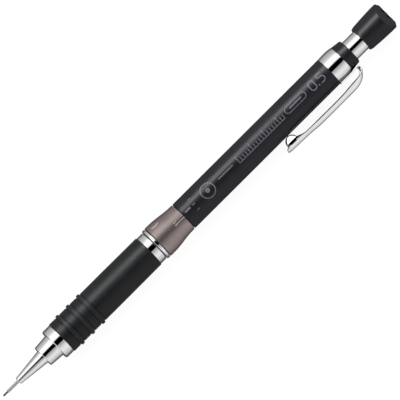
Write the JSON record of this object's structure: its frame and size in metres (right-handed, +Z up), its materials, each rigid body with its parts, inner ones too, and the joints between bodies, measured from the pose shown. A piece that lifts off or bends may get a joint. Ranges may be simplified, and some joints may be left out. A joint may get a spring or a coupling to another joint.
{
  "type": "mechanical pencil",
  "caption": "Drafting mechanical pencil with a fixed guide pipe, ringed grip, twist ring, shaker weight, spring clip and push cap.",
  "frame": {"origin": "middle of the pencil's bounding box in X and Y, on the surface it lies on", "axes": "+X runs along the pencil from the writing tip to the push cap, +Z is up, and the clip lies on the -Y side, turned down until it touches the surface"},
  "size_m": [0.1452, 0.014, 0.0105],
  "materials": {
    "chrome": "polished chrome plate",
    "steel": "drawn steel",
    "brass": "turned, unplated",
    "graphite": "dark grey lead",
    "rubber": "soft black",
    "grip": "satin black",
    "barrel": "matt charcoal",
    "cap": "satin dark grey",
    "twist": "warm grey metallic",
    "core_plastic": "moulded black",
    "clear": "milky translucent tube",
    "eraser": "white"
  },
  "bodies": {
    "housing": {"grip_core": "core_plastic", "grip_sleeve": "grip", "grip_ring_front": "rubber", "grip_ring_middle": "rubber", "grip_ring_rear": "rubber", "front_trim_ring": "chrome", "rear_trim_ring": "chrome", "joint_tube": "core_plastic", "barrel": "barrel", "clip_band": "chrome", "end_collar": "cap", "chuck_housing": "steel", "weight_stop": "steel", "stop_cushion": "rubber", "return_spring": "steel"},
    "nose_seal": {"lead_retainer": "rubber"},
    "nose": {"nose_cone": "chrome", "nose_ring": "chrome", "guide_pipe": "steel"},
    "feed": {"knock_tube": "chrome", "lead_tube": "clear", "tube_connector": "brass", "chuck": "brass", "impact_collar": "brass", "weight_cushion": "rubber"},
    "clutch": {"clutch_ring": "brass"},
    "lead": {"lead": "graphite"},
    "eraser": {"eraser": "eraser"},
    "cap": {"cap": "cap"},
    "weight": {"shaker_weight": "brass"},
    "twist": {"twist_ring": "twist", "lock_sleeve": "steel", "lock_pins": "steel"},
    "clip": {"clip": "chrome"}
  },
  "joints": [
    {"name": "knock_press", "type": "slide", "parent": "housing", "child": "feed", "axis": [-1, 0, 0], "range_m": [0, 0.003], "stiffness_N_per_m": 900, "springref_m": -0.0045, "deforming": ["return_spring"]},
    {"name": "clutch_shift", "type": "slide", "parent": "housing", "child": "clutch", "axis": [-1, 0, 0], "range_m": [0, 0.0008]},
    {"name": "lead_feed", "type": "slide", "parent": "housing", "child": "lead", "axis": [-1, 0, 0], "range_m": [0, 0.0006]},
    {"name": "eraser_pull", "type": "slide", "parent": "feed", "child": "eraser", "axis": [1, 0, 0], "range_m": [0, 0.008]},
    {"name": "cap_pull", "type": "slide", "parent": "eraser", "child": "cap", "axis": [1, 0, 0], "range_m": [0, 0.012]},
    {"name": "weight_shake", "type": "slide", "parent": "housing", "child": "weight", "axis": [1, 0, 0], "range_m": [0, 0.006]},
    {"name": "ring_twist", "type": "hinge", "parent": "housing", "child": "twist", "pos_m": [-0.00958, 0.00168, 0.00527], "axis": [1, 0, 0], "range_deg": [-60, 0]},
    {"name": "clip_flex", "type": "hinge", "parent": "housing", "child": "clip", "pos_m": [0.05644, -0.00245, 0.00346], "axis": [0, -0.4022, 0.9155], "range_deg": [0, 6], "stiffness_Nm_per_rad": 0.7, "springref_deg": -1.72},
    {"name": "nose_travel", "type": "slide", "parent": "housing", "child": "nose_seal", "axis": [-1, 0, 0], "range_m": [0, 0.0045]},
    {"name": "nose_unscrew", "type": "hinge", "parent": "nose_seal", "child": "nose", "pos_m": [-0.05458, 0.00168, 0.00527], "axis": [-1, 0, 0], "range_deg": [0, 2160]}
  ],
  "couplings": [
    {"joint": "clutch_shift", "follows": "knock_press", "ratio": 0.26667},
    {"joint": "lead_feed", "follows": "knock_press", "ratio": 0.2},
    {"joint": "nose_unscrew", "follows": "nose_travel", "rad_per_m": 8377.6}
  ]
}
